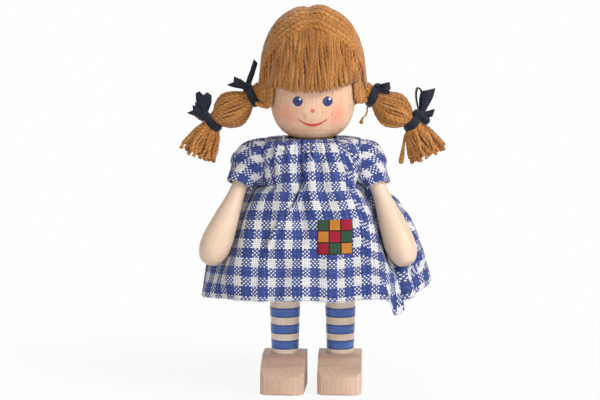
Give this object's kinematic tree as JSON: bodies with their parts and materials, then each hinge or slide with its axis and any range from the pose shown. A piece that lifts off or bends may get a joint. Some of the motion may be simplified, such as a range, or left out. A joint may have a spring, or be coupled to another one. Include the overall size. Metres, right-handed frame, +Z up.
{
  "type": "wooden peg doll",
  "caption": "Turned wooden doll with a turning head, pegged arms and legs, yarn hair in two tied bunches and a gathered checked smock.",
  "frame": {"origin": "on the floor, midway between the two feet and under the middle of the doll's box", "axes": "+Z up, -Y to the front, the way the face looks, +X to the doll's own left"},
  "size_m": [0.0834, 0.0472, 0.12],
  "materials": {
    "beech": "satin",
    "dowel": "satin",
    "yarn": "matte",
    "ribbon": "satin",
    "gingham": "matte",
    "pocket_check": "matte",
    "thread": "matte"
  },
  "bodies": {
    "torso": {"torso": "beech", "neck_peg": "dowel", "shoulder_peg": "dowel", "hip_peg": "dowel", "right_shoulder_cap": "dowel", "left_shoulder_cap": "dowel", "right_hip_cap": "dowel", "left_hip_cap": "dowel", "dress_front": "gingham", "dress_back": "gingham", "pocket": "pocket_check", "neck_cord": "thread"},
    "head": {"head": "beech", "hair_cap": "yarn", "fringe": "yarn", "right_bunch": "yarn", "left_bunch": "yarn", "right_tassel": "yarn", "left_tassel": "yarn", "right_inner_ribbon": "ribbon", "left_inner_ribbon": "ribbon", "right_outer_ribbon": "ribbon", "left_outer_ribbon": "ribbon"},
    "right_arm": {"right_arm": "beech", "right_sleeve": "gingham"},
    "left_arm": {"left_arm": "beech", "left_sleeve": "gingham"},
    "right_leg": {"right_leg": "beech", "right_foot": "beech"},
    "left_leg": {"left_leg": "beech", "left_foot": "beech"}
  },
  "joints": [
    {"name": "head_turn", "type": "hinge", "parent": "torso", "child": "head", "pos_m": [0, 0, 0.0788], "axis": [0, 0, 1], "continuous": true},
    {"name": "right_shoulder_swing", "type": "hinge", "parent": "torso", "child": "right_arm", "pos_m": [-0.0196, 0, 0.0713], "axis": [-1, 0, 0], "range_deg": [0, 120]},
    {"name": "left_shoulder_swing", "type": "hinge", "parent": "torso", "child": "left_arm", "pos_m": [0.0174, 0, 0.0713], "axis": [-1, 0, 0], "range_deg": [0, 120]},
    {"name": "right_hip_swing", "type": "hinge", "parent": "torso", "child": "right_leg", "pos_m": [-0.0087, 0, 0.0375], "axis": [-1, 0, 0], "range_deg": [-45, 50]},
    {"name": "left_hip_swing", "type": "hinge", "parent": "torso", "child": "left_leg", "pos_m": [0.0087, 0, 0.0375], "axis": [-1, 0, 0], "range_deg": [-45, 50]}
  ]
}
